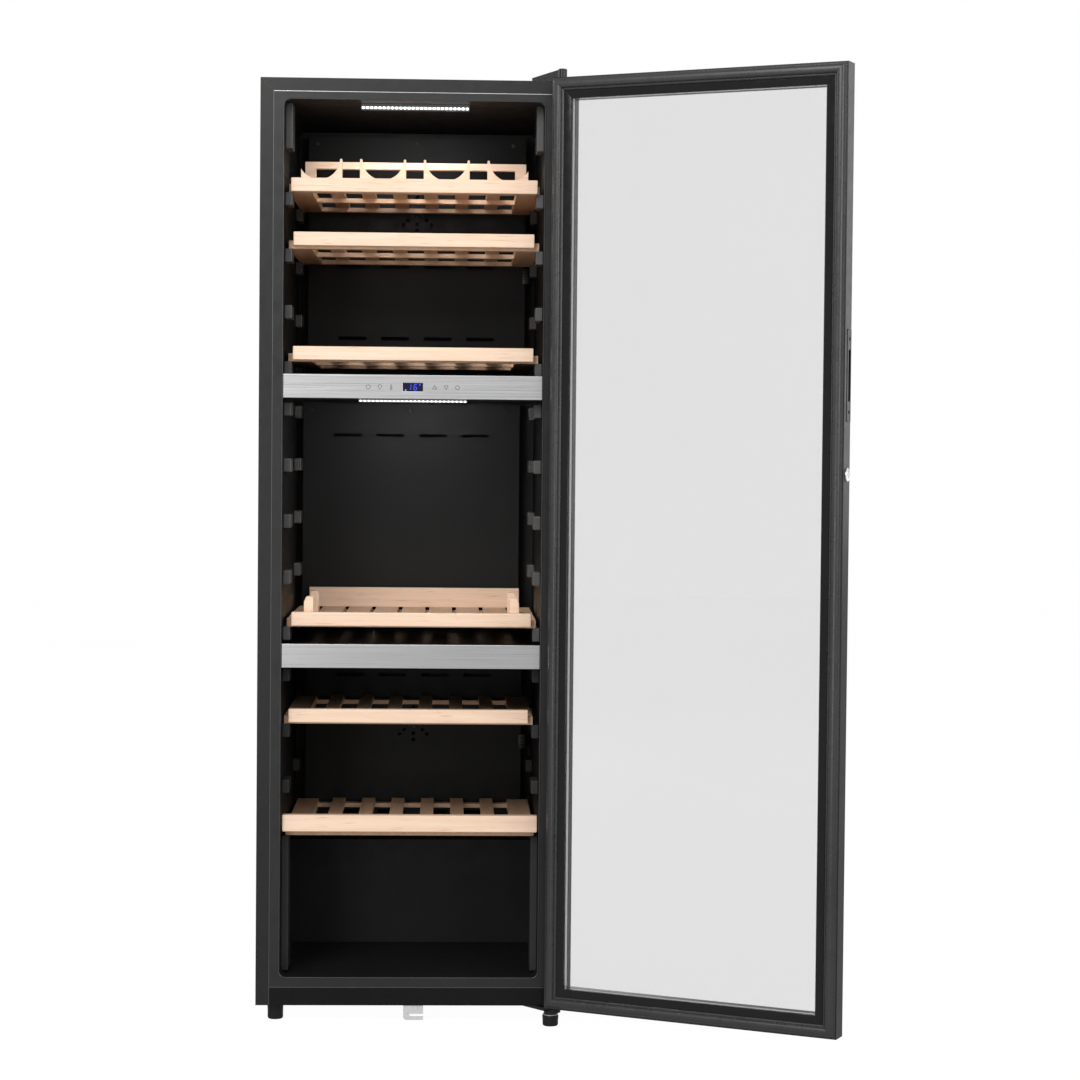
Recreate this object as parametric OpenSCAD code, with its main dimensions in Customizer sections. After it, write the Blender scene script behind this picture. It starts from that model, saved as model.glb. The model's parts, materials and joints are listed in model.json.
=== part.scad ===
// Tall three-zone wine cooler with a glass door that stands open.
// The front of the cabinet faces -Y, +X is on the right seen from the front, and Z = 0 is the floor.

/* [Cabinet] */
// Outer width of the cabinet and of the door
cab_w = 550; // [540:5:600]
// Depth of the cabinet without its door
cab_d = 555; // [545:5:600]
// Height of the cabinet body above its feet
cab_h = 1663; // [1655:1:1690]
// Height of the levelling feet
foot_h = 30; // [28:1:34]
// Width of the frame around the opening at each side
side_wall = 42.5; // [40:0.5:46]
// Height of the frame under the opening
sill_h = 51; // [48:1:56]
// Height of the frame above the opening
head_h = 38; // [36:1:44]
// Width of the steel part of the front frame
flange_w = 23.5; // [20:0.5:26]
// Depth of the chilled space behind the front
cavity_d = 490; // [480:5:495]

/* [Dividers] */
// Underside of the bar that holds the controls
control_bar_z = 1123.5; // [1118:0.5:1126]
// Underside of the plain bar over the bottom zone
lower_bar_z = 639.5; // [637:0.5:642]
// Height of both bars
bar_h = 42.5; // [40:0.5:46]

/* [Shelves] */
// Height between two neighbouring shelf supports
support_pitch = 101.5; // [100:0.5:102]
// Width of a shelf's wooden front
shelf_front_w = 433; // [425:1:436]
// Length of a shelf from front to back
shelf_len = 415; // [400:5:420]
// Distance between the bottles on a shelf
bottle_pitch = 115; // [112:1:116]

/* [Door] */
// How far the door stands open, in degrees
door_open = 153; // [0:1:160]
// Thickness of the door frame
door_t = 33; // [30:1:38]
// Width of the door frame around the glass
door_frame_w = 38.5; // [36:0.5:44]

/* [Hidden] */
$fn = 64;
sheet = 0.8;
plastic = 2;
gap = 0.5;
slide_gap = 0.3;

front_y = -cab_d / 2;
back_y = cab_d / 2;
base_z = foot_h;
top_z = base_z + cab_h;
half_w = cab_w / 2;
open_w = cab_w - 2 * side_wall;
open_z0 = base_z + sill_h;
open_z1 = top_z - head_h;
open_h = open_z1 - open_z0;
open_r = 11;
liner_flange_x = half_w - flange_w - gap;
base_strip_h = 33;
cavity_y = front_y + cavity_d;

// Compressor bay at the bottom of the back, and the step that it makes in the chilled space
bay_y = 105;
bay_z = base_z + 210;
bay_wall = 40;
step_y = bay_y - bay_wall;
step_z = bay_z + bay_wall;
bay_half_w = half_w - 34;

// Duct covers in front of the liner's back wall
panel_y = front_y + 452;
panel_t = 3;
panel_w = 424;
middle_panel_x = -8;
air_slot_w = 55;
air_slot_h = 7;
air_slot_xs = [-125, -42, 42, 125];
panel_screw_xs = [-195, -2, 187];
panel_screw_inset = 12;
intake_rings = [14, 26, 38];

// Shelf supports moulded on the liner's sides
pad_t = 13;
pad_h = 24;
pad_len = 60;
pad_front_y = front_y + 42;
pad_rear_y = front_y + 370;
top_zone_z = 1189.5;
middle_zone_z = 710;
bottom_zone_z = 331;
top_pads = [for (i = [0:3]) top_zone_z + i * support_pitch];
middle_pads = [for (i = [0:4]) middle_zone_z + i * support_pitch];
bottom_pads = [for (i = [1:3]) bottom_zone_z + i * support_pitch];
top_pad_h = 82;
pad_foot_gap = 4;

// Display window, centred on the height of the keys, the board behind it and the LED bars
board_half_w = 100;
board_margin = 9;
led_half_w = 97.5;
window_w = 36;
window_h = 15;
control_z = control_bar_z + bar_h / 2 - 0.4;

// Shelf details, measured from the level of the supports
shelf_y = front_y + 28;
front_t = 19;
front_h = 24.5;
front_lift = 3;
second_front_lift = 5;
fourth_front_lift = 4;
fourth_shelf_x = -4;
rail_x = 225.5;
rail_w = 41;
rail_h = 14.5;
slat_w = 25;
slat_h = 8;
cross_w = 20;
low_front_w = 460;
low_front_h = 30;
low_front_lift = 11.5;
low_front_out = 16;
cradle_front_w = 443;
cradle_front_lift = 0.3;
cradle_w = 83;
cradle_end_x = 205;
cradle_top = 61.5;
cradle_t = 22;
trough_r = 37.5;
neck_rail_out = 157;
neck_rail_z = 57.5;
neck_rail_h = 13;
neck_rail_t = 16;
retainer_x = 186;
retainer_w = 16;
retainer_h = 27;

// Door: its local frame is the closed position, u from the hinge edge and v from the cabinet's front
pivot_x = half_w - 13;
pivot_v = 25;
pivot_y = front_y - pivot_v;
seal_gap = 1;
gasket_h = 9;
frame_v = seal_gap + gasket_h;
door_back_v = frame_v + door_t;
door_z0 = base_z + 2;
door_z1 = top_z + 1.5;
door_h = door_z1 - door_z0;
rebate_w = 20;
lip_t = 14;
glass_t = 4;
spacer_t = 9;
glass_inset = 23;
grip_z = 1165;
grip_len = 156;
grip_w = 19;
grip_v = 31.5;
slot_len = 88;
slot_w = 9;
lock_z = 996;
lock_v = 27;
lock_r = 12;

// Hinges and feet
pin_r = 4;
run_gap = 0.05;
arm_t = 6;
arm_back_x = half_w - 4;
top_boss_r = 8;
bottom_boss_r = 12;
cover_h = 8;
boss_bottom_h = 10;
pin_reach = 22;
bush_r = 7;
top_arm_tip = [211, front_y + 82];
bottom_arm_tip = [207, front_y + 28];
foot_r = 15.5;
foot_toe_r = 13.5;
stud_r = 4;
foot_x = half_w - 34;
rear_foot_y = back_y - 45;
front_foot_y = front_y + 34;
hinge_foot_x = pivot_x - 6;
hinge_foot_y = pivot_y + 2;

// Air and cooling parts
fan_r = 44;
fan_hub_r = 17;
fan_t = 22;
fan_y = panel_y + panel_t;
upper_fan_z = 1500;
lower_fan_z = 500;
blades = 7;

// Rounded rectangle around the origin, made of true arcs
module rounded_rect(w, h, r) {
    square([w - 2 * r, h], center = true);
    square([w, h - 2 * r], center = true);
    for (sx = [-1, 1], sy = [-1, 1])
        translate([sx * (w / 2 - r), sy * (h / 2 - r)]) circle(r = r);
}

// Extrudes an outline drawn in X and Z from y0 to y1
module along_y(y0, y1) {
    translate([0, y1, 0]) rotate([90, 0, 0]) linear_extrude(height = y1 - y0) children();
}

module box(x0, x1, y0, y1, z0, z1) {
    translate([x0, y0, z0]) cube([x1 - x0, y1 - y0, z1 - z0]);
}

module both_sides() {
    children();
    mirror([1, 0, 0]) children();
}

module y_cylinder(r, y0, y1) {
    along_y(y0, y1) circle(r = r);
}

// Puts a piece drawn in the closed door's frame where the open door holds it
module on_door() {
    translate([pivot_x, pivot_y, 0]) rotate([0, 0, door_open])
        translate([-pivot_x, -pivot_y, 0]) children();
}

// Ring of the door's outline between two insets, from depth v0 to v1
module door_ring(inset_out, inset_in, v0, v1) {
    along_y(front_y - v1, front_y - v0)
        translate([0, (door_z0 + door_z1) / 2]) difference() {
            square([cab_w - 2 * inset_out, door_h - 2 * inset_out], center = true);
            square([cab_w - 2 * inset_in, door_h - 2 * inset_in], center = true);
        }
}

module door_pane(inset, v0, v1) {
    box(-half_w + inset, half_w - inset, front_y - v1, front_y - v0, door_z0 + inset, door_z1 - inset);
}

// ---------- Cabinet ----------

module mitre_slits() {
    for (s = [-1, 1])
        translate([s * (half_w - flange_w / 2), front_y + sheet / 2, top_z - flange_w / 2])
            rotate([0, -s * 45, 0])
                cube([flange_w * 1.5, 2 * sheet, 0.5], center = true);
}

module outer_wrap() {
    color([0.22, 0.22, 0.23]) difference() {
        box(-half_w, half_w, front_y, back_y, base_z, top_z);
        box(-half_w + sheet, half_w - sheet, front_y + sheet, back_y + 1, base_z - 1, top_z - sheet);
        box(-half_w + flange_w, half_w - flange_w, front_y - 1, front_y + 2, base_z - 1,
            top_z - flange_w);
        mitre_slits();
    }
}

module rear_panel() {
    color([0.16, 0.16, 0.17])
        box(-half_w + sheet, half_w - sheet, back_y - sheet, back_y, bay_z, top_z - sheet);
}

module base_strip() {
    x = half_w - flange_w - gap;
    color([0.17, 0.17, 0.18]) union() {
        box(-x, x, front_y, front_y + 1.5, base_z, base_z + base_strip_h - gap);
        box(-x, x, front_y, front_y + 20, base_z, base_z + 1.5);
    }
}

// Steel pan under the cabinet, with bosses for the feet and the compressor's bolts
module base_pan() {
    x = half_w - sheet - gap;
    color([0.25, 0.25, 0.26]) difference() {
        union() {
            box(-x, x, front_y + 21, back_y - sheet, base_z, base_z + 2);
            both_sides() box(x - 2, x, front_y + 21, back_y - sheet, base_z, base_z + 30);
            for (p = [[-foot_x, front_foot_y], [-foot_x, rear_foot_y], [foot_x, rear_foot_y]])
                translate([p[0], p[1], base_z]) cylinder(r = 9, h = 14);
        }
        for (p = [[-foot_x, front_foot_y], [-foot_x, rear_foot_y], [foot_x, rear_foot_y]])
            translate([p[0], p[1], base_z - 1]) cylinder(r = stud_r + run_gap, h = 20);
    }
}

module foam_insulation() {
    t = plastic;
    mid_z = (open_z0 + open_z1) / 2;
    color([0.85, 0.8, 0.6]) difference() {
        box(-half_w + sheet, half_w - sheet, front_y + 2.2, back_y - sheet, base_z + 32, top_z - sheet);
        difference() {
            along_y(front_y, cavity_y + t) translate([0, mid_z])
                rounded_rect(open_w + 2 * t, open_h + 2 * t, open_r + t);
            box(-open_w, open_w, step_y + t, cavity_y + 2 * t, open_z0 - 2 * t, step_z - t);
        }
        box(-bay_half_w, bay_half_w, bay_y, back_y + 1, base_z, bay_z);
    }
}

module liner_cavity(t, y1) {
    mid_z = (open_z0 + open_z1) / 2;
    difference() {
        along_y(front_y - 1, y1) translate([0, mid_z])
            rounded_rect(open_w + 2 * t, open_h + 2 * t, open_r + t);
        box(-open_w, open_w, step_y + t, y1 + 1, open_z0 - 2 * plastic - 1, step_z - t);
    }
}

module inner_liner() {
    t = plastic;
    x = liner_flange_x;
    color([0.05, 0.05, 0.055]) difference() {
        union() {
            difference() {
                liner_cavity(t, cavity_y + t);
                box(-cab_w, cab_w, front_y - 2, front_y, 0, top_z);
            }
            box(-x, x, front_y, front_y + t, base_z + base_strip_h, top_z - flange_w - gap);
        }
        liner_cavity(0, cavity_y);
    }
}

// Pair of support blocks against the liner's sides, with their tops at z_top
module pad(y, z_top, h) {
    both_sides() box(open_w / 2 - pad_t, open_w / 2, y, y + pad_len, z_top - h, z_top);
}

module support_pads(levels) {
    for (z = levels) {
        pad(pad_front_y, z, pad_h);
        pad(pad_rear_y, z, pad_h);
    }
}

module upper_supports() {
    color([0.1, 0.1, 0.11]) intersection() {
        liner_cavity(0, cavity_y);
        union() {
            support_pads(top_pads);
            pad(pad_front_y, open_z1 - 1, top_pad_h);
        }
    }
}

module middle_supports() {
    color([0.1, 0.1, 0.11]) support_pads(middle_pads);
}

module lower_supports() {
    color([0.1, 0.1, 0.11]) intersection() {
        liner_cavity(0, cavity_y);
        union() {
            support_pads(bottom_pads);
            pad(pad_front_y, bottom_zone_z, bottom_zone_z - open_z0 - pad_foot_gap);
            pad(pad_rear_y, bottom_zone_z, bottom_zone_z - step_z);
        }
    }
}

// Slab that parts two zones and carries a bar in front
module divider(z) {
    x = open_w / 2 - gap;
    color([0.06, 0.06, 0.065]) difference() {
        box(-x, x, front_y + 8, panel_y - gap, z + 1.5, z + bar_h - 1.5);
        children();
    }
}

module upper_divider() {
    divider(control_bar_z) {
        box(-110, 110, front_y + 7, front_y + 30, control_bar_z + 8, control_bar_z + bar_h - 8);
        box(-100, 100, front_y + 13, front_y + 27, control_bar_z, control_bar_z + 5.5);
    }
}

module lower_divider() {
    divider(lower_bar_z);
}

// Folded steel cover over the front of a divider
module fascia(z) {
    x = open_w / 2 - 0.6;
    color([0.75, 0.75, 0.76]) difference() {
        box(-x, x, front_y + 2, front_y + 12, z, z + bar_h);
        box(-x - 1, x + 1, front_y + 3.2, front_y + 13, z + 1.2, z + bar_h - 1.2);
        children();
    }
}

module control_fascia() {
    fascia(control_bar_z) {
        box(-window_w / 2, window_w / 2, front_y, front_y + 5, control_z - window_h / 2,
            control_z + window_h / 2);
    }
}

module lower_fascia() {
    fascia(lower_bar_z);
}

module display_window() {
    w = window_w - 0.4;
    h = window_h - 0.4;
    color([0.02, 0.02, 0.1])
        box(-w / 2, w / 2, front_y + 2.3, front_y + 9, control_z - h / 2, control_z + h / 2);
}

module control_board() {
    color([0.05, 0.3, 0.12]) union() {
        box(-board_half_w, board_half_w, front_y + 9.2, front_y + 10.8,
            control_bar_z + board_margin, control_bar_z + bar_h - board_margin);
        for (x = [-70, -30, 40, 80])
            box(x - 9, x + 9, front_y + 10.8, front_y + 16, control_z - 7, control_z + 7);
    }
}

module led_bar(y0, y1, z0, z1) {
    color([0.95, 0.96, 1]) box(-led_half_w, led_half_w, y0, y1, z0, z1);
}

module upper_led_bar() {
    led_bar(front_y + 50, front_y + 68, open_z1 - 10, open_z1);
}

module middle_led_bar() {
    led_bar(front_y + 14, front_y + 26, control_bar_z - 6, control_bar_z + 5);
}

// Duct cover with rows of air slots and a round intake
module duct_cover(z0, z1, slots, fan_z) {
    color([0.045, 0.045, 0.05]) difference() {
        union() {
            box(-panel_w / 2, panel_w / 2, panel_y, panel_y + panel_t, z0, z1);
            for (s = [-1, 1])
                box(s * (panel_w / 2 - 4) - 4, s * (panel_w / 2 - 4) + 4, panel_y, cavity_y, z0, z1);
        }
        for (z = slots, x = air_slot_xs)
            along_y(panel_y - 1, panel_y + panel_t + 1) translate([x, z])
                rounded_rect(air_slot_w, air_slot_h, 3.4);
        if (fan_z > 0)
            for (a = [0:45:315], r = intake_rings)
                translate([r * cos(a), 0, fan_z + r * sin(a)])
                    y_cylinder(3.6, panel_y - 1, panel_y + panel_t + 1);
        for (x = panel_screw_xs, z = [z0 + panel_screw_inset, z1 - panel_screw_inset])
            translate([x, 0, z]) y_cylinder(2.2, panel_y - 1, panel_y + panel_t + 1);
    }
}

module upper_back_panel() {
    duct_cover(control_bar_z + bar_h + 2, open_z1 - 14, [1250, 1391], upper_fan_z);
}

module middle_back_panel() {
    translate([middle_panel_x, 0, 0])
        duct_cover(lower_bar_z + bar_h + 2, control_bar_z - 2, [745, 1060], 0);
}

module lower_back_panel() {
    duct_cover(step_z + 2, lower_bar_z - 2, [320, 590], lower_fan_z);
}

// Chilled plate with its channel, hung behind a duct cover
module evaporator(z0, z1) {
    half = 165;
    edge = 15;
    color([0.8, 0.82, 0.84]) union() {
        box(-half, half, cavity_y - 1.5, cavity_y, z0, z1);
        for (z = [z0 + edge:2 * edge:z1 - edge])
            translate([edge - half, cavity_y - 3, z]) rotate([0, 90, 0])
                cylinder(r = 2.5, h = 2 * (half - edge), $fn = 24);
    }
}

module upper_evaporator() {
    evaporator(1260, 1350);
}

module lower_evaporator() {
    evaporator(350, 440);
}

module fan_frame(z) {
    y1 = fan_y + fan_t;
    color([0.1, 0.1, 0.11]) translate([0, 0, z]) difference() {
        union() {
            difference() {
                along_y(fan_y, y1) rounded_rect(2 * fan_r + 8, 2 * fan_r + 8, 4);
                y_cylinder(fan_r, fan_y - 1, y1 + 1);
            }
            for (a = [0:90:270]) rotate([0, a + 45, 0])
                box(-2, 2, y1 - 3, y1, 6, fan_r + 2);
            y_cylinder(14, y1 - 4, y1);
        }
        y_cylinder(2 + run_gap, fan_y - 1, y1 + 1);
    }
}

module fan_rotor(z) {
    y1 = fan_y + fan_t;
    color([0.13, 0.13, 0.14]) translate([0, 0, z]) union() {
        y_cylinder(fan_hub_r, fan_y + 3, y1 - 6);
        y_cylinder(2, fan_y + 4, y1 - 0.5);
        for (i = [0:blades - 1]) rotate([0, i * 360 / blades, 0])
            translate([0, fan_y + 9.5, fan_hub_r - 3]) rotate([0, 0, 32])
                translate([-9, -0.8, 0]) cube([18, 1.6, fan_r - fan_hub_r + 0.5]);
    }
}

// Hermetic shell with a domed top, its terminal box and its base plate
module compressor() {
    r = 62;
    h = 100;
    dome = 28;
    steps = 6;
    color([0.07, 0.07, 0.075]) translate([-60, (bay_y + back_y) / 2, base_z + 20]) union() {
        rotate_extrude() polygon(concat([[0, 2], [r, 2], [r, h]],
            [for (i = [1:steps - 1]) [r * cos(i * 90 / steps), h + dome * sin(i * 90 / steps)]],
            [[0, h + dome]]));
        translate([0, 0, 44]) cylinder(r = r + 3, h = 5);
        translate([r - 4, -20, 25]) cube([26, 40, 50]);
        translate([-88, -58, 0]) cube([176, 116, 3]);
    }
}

module compressor_mounts() {
    color([0.05, 0.05, 0.05]) translate([-60, (bay_y + back_y) / 2, base_z + 2])
        for (x = [-68, 68], y = [-48, 48]) translate([x, y, 0]) cylinder(r = 9, h = 18);
}

// Serpentine tube with round elbows that gives off heat beside the compressor
module condenser_coil() {
    x0 = 110;
    x1 = 190;
    row_pitch = 20;
    rows = 9;
    tube_r = 2.4;
    elbow_r = 3;
    color([0.06, 0.06, 0.06]) translate([0, back_y - 60, base_z + 5])
        for (i = [0:rows - 1]) {
            translate([x0, 0, i * row_pitch]) rotate([0, 90, 0])
                cylinder(r = tube_r, h = x1 - x0, $fn = 24);
            for (x = [x0, x1]) translate([x, 0, i * row_pitch]) sphere(r = elbow_r, $fn = 24);
            if (i < rows - 1)
                translate([i % 2 == 0 ? x1 : x0, 0, i * row_pitch])
                    cylinder(r = tube_r, h = row_pitch, $fn = 24);
        }
}

module mains_inlet() {
    color([0.08, 0.08, 0.08]) difference() {
        union() {
            box(bay_half_w - 43, bay_half_w, back_y - 30, back_y - 1, 150, 182);
            box(bay_half_w - 46, bay_half_w, back_y - 3, back_y, 146, 186);
        }
        box(bay_half_w - 36, bay_half_w - 10, back_y - 16, back_y + 1, 156, 176);
    }
}

// Bright hooked plate under the middle of the base
module keeper_plate() {
    color([0.85, 0.85, 0.86]) union() {
        along_y(front_y + 1.8, front_y + 4.3) translate([9, 0]) union() {
            translate([-18, 14.5]) square([36, base_z - 14.5]);
            translate([-18, 9]) square([9, 6]);
            translate([-12, 3.5]) square([30, 6]);
            translate([-12, 9.5]) circle(r = 6);
        }
        box(-9, 27, front_y + 1.8, front_y + 20, base_z - 2.5, base_z);
    }
}

// ---------- Hinges and feet ----------

// Plan of a hinge arm, from its slanted inner edge to the boss around the pin
module arm_plan(tip, r) {
    polygon([tip, [tip[0] + 8, tip[1] + 8], [arm_back_x, tip[1] + 8], [arm_back_x, front_y],
        [pivot_x + r, pivot_y], [pivot_x - r, pivot_y]]);
    translate([pivot_x, pivot_y]) circle(r = r);
}

module top_hinge_arm() {
    z = door_z1 + seal_gap;
    color([0.1, 0.1, 0.1]) union() {
        translate([0, 0, z]) linear_extrude(height = arm_t) arm_plan(top_arm_tip, top_boss_r);
        translate([0, 0, top_z]) linear_extrude(height = z - top_z + 1) intersection() {
            arm_plan(top_arm_tip, top_boss_r);
            translate([0, front_y]) square(half_w);
        }
        translate([pivot_x, pivot_y, z]) cylinder(r = top_boss_r, h = arm_t + cover_h + 0.5);
        translate([pivot_x, pivot_y, door_z1 - pin_reach]) cylinder(r = pin_r, h = pin_reach + arm_t);
    }
}

module top_hinge_cover() {
    color([0.06, 0.06, 0.06]) translate([0, 0, door_z1 + seal_gap + arm_t])
        linear_extrude(height = cover_h) difference() {
            arm_plan(top_arm_tip, top_boss_r);
            translate([pivot_x, pivot_y]) circle(r = top_boss_r + 0.2);
            translate([pivot_x - top_boss_r - 1, pivot_y - top_boss_r - 1])
                square([2 * top_boss_r + 2, top_boss_r + 1]);
        }
}

module bottom_hinge_arm() {
    z0 = base_z - boss_bottom_h;
    color([0.1, 0.1, 0.1]) difference() {
        union() {
            translate([0, 0, base_z - arm_t]) linear_extrude(height = arm_t)
                arm_plan(bottom_arm_tip, bottom_boss_r);
            translate([hinge_foot_x, hinge_foot_y, z0]) cylinder(r = bottom_boss_r, h = arm_t + 1);
            translate([pivot_x, pivot_y, base_z - 1]) cylinder(r = pin_r, h = pin_reach + 3);
        }
        translate([hinge_foot_x, hinge_foot_y, z0 - 1])
            cylinder(r = stud_r - 0.5 + run_gap, h = boss_bottom_h - 1);
        for (p = [[258, front_y + 15], [236, front_y + 30]])
            translate([p[0], p[1], base_z - arm_t - 1]) cylinder(r = 3, h = 10);
    }
}

// Ribbed tapered foot on its stud
module foot(x, y, body_h, stud, r) {
    ribs = 16;
    color([0.06, 0.06, 0.06]) translate([x, y, 0]) union() {
        rotate_extrude() polygon([[0, 0], [foot_toe_r - 1, 0], [foot_toe_r, 1],
            [foot_r - 0.8, body_h - 2], [foot_r - 1.8, body_h - gap], [0, body_h - gap]]);
        for (i = [0:ribs - 1]) rotate([0, 0, i * 360 / ribs])
            translate([foot_toe_r - 1.5, -0.9, 2.5]) cube([2, 1.8, body_h - 5]);
        translate([0, 0, body_h - 2]) cylinder(r = r, h = stud);
    }
}

module front_left_foot() {
    foot(-foot_x, front_foot_y, foot_h, 14, stud_r);
}

module front_right_foot() {
    foot(hinge_foot_x, hinge_foot_y, foot_h - boss_bottom_h, boss_bottom_h - 1.5, stud_r - 0.5);
}

module rear_left_foot() {
    foot(-foot_x, rear_foot_y, foot_h, 14, stud_r);
}

module rear_right_foot() {
    foot(foot_x, rear_foot_y, foot_h, 14, stud_r);
}

// ---------- Shelves ----------

module shelf_front(z, w, h, lift) {
    color([0.93, 0.8, 0.66]) box(-w / 2, w / 2, shelf_y, shelf_y + front_t, z + lift, z + lift + h);
}

// Side rails, cross rails and slats of one shelf
module shelf_frame(z) {
    y0 = shelf_y + front_t;
    y1 = shelf_y + shelf_len;
    z0 = z + slide_gap;
    inner = rail_x - rail_w;
    color([0.82, 0.66, 0.5]) union() {
        both_sides() box(inner, rail_x, y0, y1, z0, z0 + rail_h);
        for (y = [y0, (y0 + y1) / 2 - 10, y1 - cross_w])
            box(-inner - 1, inner + 1, y, y + cross_w, z0, z0 + slat_h);
        for (i = [-3:2]) {
            x = (i + 0.5) * bottle_pitch / 2;
            box(x - slat_w / 2, x + slat_w / 2, y0, y1, z0 + slat_h - 0.5, z0 + 2 * slat_h);
        }
    }
}

module standard_front(z, lift = front_lift) {
    shelf_front(z, shelf_front_w, front_h, lift);
}

module cradle_shelf_front() {
    shelf_front(top_pads[3], cradle_front_w, front_h, cradle_front_lift);
}

module cradle_shelf_frame() {
    shelf_frame(top_pads[3]);
}

// Blocks with a hollow top that hold tilted bottles, and the raised rail behind them
module bottle_cradles() {
    z0 = top_pads[3] + slide_gap + 2 * slat_h;
    top = top_pads[3] + cradle_top;
    y0 = shelf_y + front_t + 4;
    rail_y = shelf_y + neck_rail_out;
    rail_z = top_pads[3] + neck_rail_z;
    color([0.87, 0.72, 0.56]) {
        for (i = [-2:1]) {
            x = (i + 0.5) * bottle_pitch;
            difference() {
                box(max(x - cradle_w / 2, -cradle_end_x), min(x + cradle_w / 2, cradle_end_x),
                    y0, y0 + cradle_t, z0, top);
                translate([x, 0, top + 0.5]) y_cylinder(trough_r, y0 - 1, y0 + cradle_t + 1);
            }
        }
        box(-cradle_end_x, cradle_end_x, rail_y, rail_y + neck_rail_t, rail_z, rail_z + neck_rail_h);
        both_sides() box(cradle_end_x - 20.5, cradle_end_x, rail_y, rail_y + neck_rail_t,
            z0 - 2 * slat_h + rail_h, rail_z + 1);
    }
}

module second_shelf_front() {
    standard_front(top_pads[2], second_front_lift);
}

module second_shelf_frame() {
    shelf_frame(top_pads[2]);
}

module third_shelf_front() {
    standard_front(top_pads[0]);
}

module third_shelf_frame() {
    shelf_frame(top_pads[0]);
}

module display_shelf_front() {
    standard_front(middle_pads[0]);
}

// Deck of the shelf for upright bottles
module display_shelf_frame() {
    y0 = shelf_y + front_t;
    y1 = shelf_y + shelf_len;
    z0 = middle_pads[0] + slide_gap;
    inner = rail_x - rail_w;
    color([0.82, 0.66, 0.5]) union() {
        both_sides() box(inner, rail_x, y0, y1, z0, z0 + rail_h);
        for (y = [y0, (y0 + y1) / 2 - 10, y1 - cross_w])
            box(-inner - 1, inner + 1, y, y + cross_w, z0, z0 + slat_h);
        for (i = [-3:3])
            box(i * 52 - 22, i * 52 + 22, y0, y1, z0 + slat_h - 0.5, z0 + rail_h);
    }
}

// Upright stops at the sides of the display shelf and the board across its back
module display_retainers() {
    z0 = middle_pads[0] + slide_gap + rail_h;
    top = middle_pads[0] + front_lift + front_h + retainer_h;
    color([0.87, 0.72, 0.56]) {
        both_sides() for (y = [shelf_y + front_t + 6, shelf_y + 215])
            translate([0, y, 0]) rotate([90, 0, 0]) mirror([0, 0, 1]) linear_extrude(height = 22)
                polygon([[retainer_x - retainer_w / 2, z0], [retainer_x + retainer_w / 2 + 2, z0],
                    [retainer_x + retainer_w / 2 + 1, top - 9], [retainer_x + retainer_w / 2 - 3, top],
                    [retainer_x - retainer_w / 2 + 1, top], [retainer_x - retainer_w / 2, top - 3]]);
        box(-205, 205, shelf_y + shelf_len - 14, shelf_y + shelf_len, z0, top - 2);
    }
}

// The fourth shelf stands a little to the left in its play
module fourth_shelf_front() {
    translate([fourth_shelf_x, 0, 0]) standard_front(bottom_pads[1], fourth_front_lift);
}

module fourth_shelf_frame() {
    translate([fourth_shelf_x, 0, 0]) shelf_frame(bottom_pads[1]);
}

module bottom_shelf_front() {
    translate([0, -low_front_out, 0])
        shelf_front(bottom_zone_z, low_front_w, low_front_h, low_front_lift);
}

module bottom_shelf_frame() {
    y = shelf_y + front_t;
    shelf_frame(bottom_zone_z);
    color([0.82, 0.66, 0.5]) box(-shelf_front_w / 2, shelf_front_w / 2, y - low_front_out, y + 1,
        bottom_zone_z + 9, bottom_zone_z + 14);
}

// ---------- Door ----------

module door_frame() {
    color([0.2, 0.2, 0.21]) on_door() difference() {
        union() {
            door_ring(0, rebate_w, frame_v, door_back_v);
            door_ring(rebate_w - 1, door_frame_w, door_back_v - lip_t, door_back_v);
        }
        for (z = [door_z0 - 1, door_z1 - pin_reach - 4])
            translate([pivot_x, pivot_y, z]) cylinder(r = bush_r, h = pin_reach + 5);
        door_ring(9, 13, frame_v - 1, frame_v + 5);
        box(-half_w - 1, -half_w + 15, front_y - grip_v - grip_w / 2, front_y - grip_v + grip_w / 2,
            grip_z - grip_len / 2, grip_z + grip_len / 2);
        translate([-half_w, front_y - lock_v, lock_z]) rotate([0, 90, 0])
            translate([0, 0, -1]) cylinder(r = lock_r - 1.5, h = 19);
    }
}

// Black inner frame that holds the glass unit
module door_inner_frame() {
    v1 = door_back_v - lip_t - 0.2;
    color([0.04, 0.04, 0.045]) on_door() union() {
        door_ring(rebate_w + 0.3, glass_inset - 0.3, frame_v, v1);
        door_ring(glass_inset - 0.5, door_frame_w, frame_v, frame_v + 1.8);
    }
}

module inner_glass() {
    color([0.8, 0.88, 0.88, 0.35]) on_door()
        door_pane(glass_inset, frame_v + 2, frame_v + 2 + glass_t);
}

module glass_spacer() {
    v = frame_v + 2 + glass_t;
    color([0.8, 0.8, 0.8]) on_door() door_ring(glass_inset + 6, door_frame_w, v, v + spacer_t);
}

module outer_glass() {
    v = frame_v + 2 + glass_t + spacer_t;
    color([0.75, 0.8, 0.8, 0.35]) on_door() door_pane(glass_inset, v, v + glass_t - 0.2);
}

// Magnetic gasket: base, bulb and the dart that holds it in the frame's groove
module door_gasket() {
    color([0.25, 0.25, 0.26]) on_door() union() {
        door_ring(5, 24, frame_v - 2.5, frame_v - 0.1);
        door_ring(9.2, 12.8, frame_v - 1, frame_v + 4.8);
        door_ring(7.5, 17, seal_gap, frame_v - 2);
    }
}

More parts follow.
